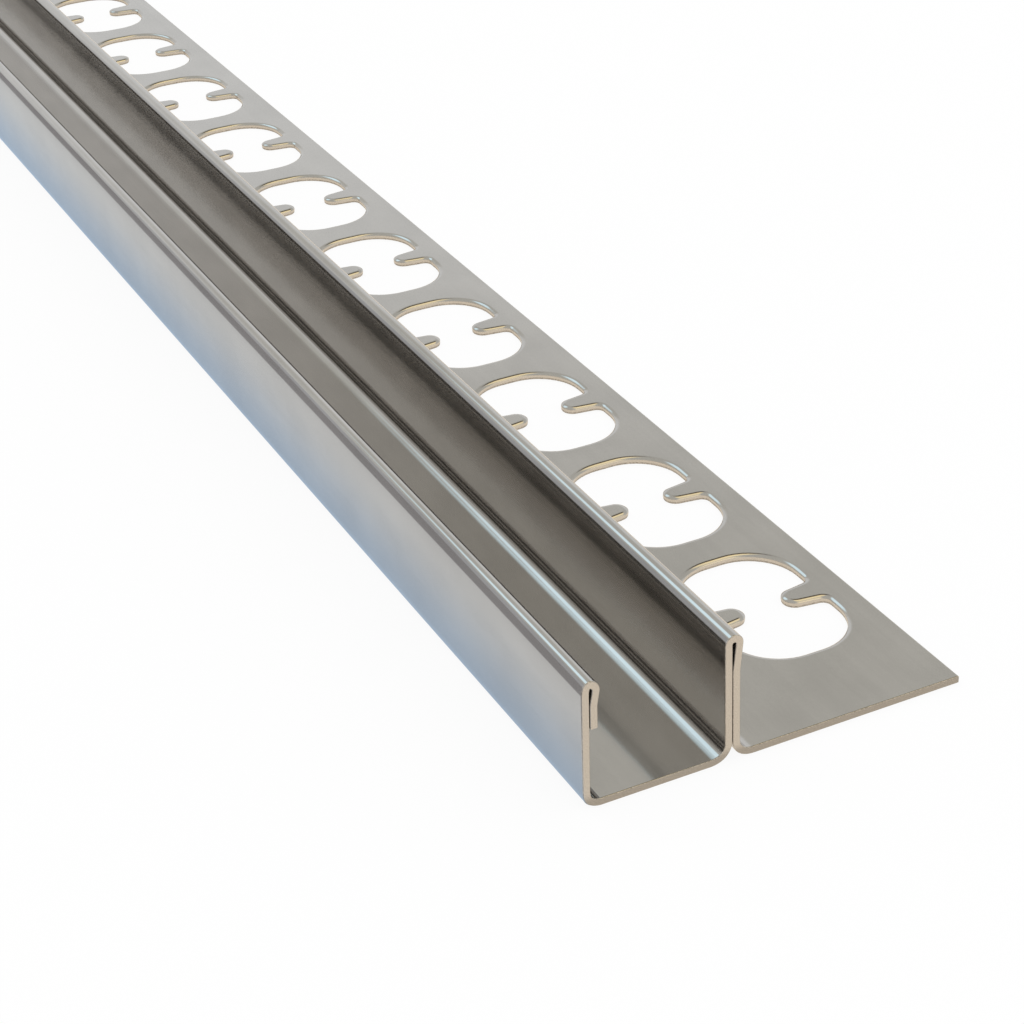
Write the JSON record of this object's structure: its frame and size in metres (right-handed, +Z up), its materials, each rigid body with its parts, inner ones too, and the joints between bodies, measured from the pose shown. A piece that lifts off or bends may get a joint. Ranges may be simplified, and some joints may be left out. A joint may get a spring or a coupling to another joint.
{
  "type": "u-channel slope profile",
  "caption": "Bent stainless steel profile: a U-channel with a hemmed outer wall and a doubled inner wall, and a flat anchoring leg with a row of punched openings.",
  "frame": {"origin": "middle of the base, halfway along the length and halfway across the overall width", "axes": "+X across the profile from the channel to the anchoring leg, +Y along the length from the near cut end to the far one, +Z up out of the channel's mouth"},
  "size_m": [0.0416, 1, 0.014],
  "materials": {
    "stainless_steel": "satin stainless steel as it comes from the coil, with plain cut ends"
  },
  "bodies": {
    "root": {"u_channel_slope_profile": "stainless_steel"}
  },
  "joints": []
}
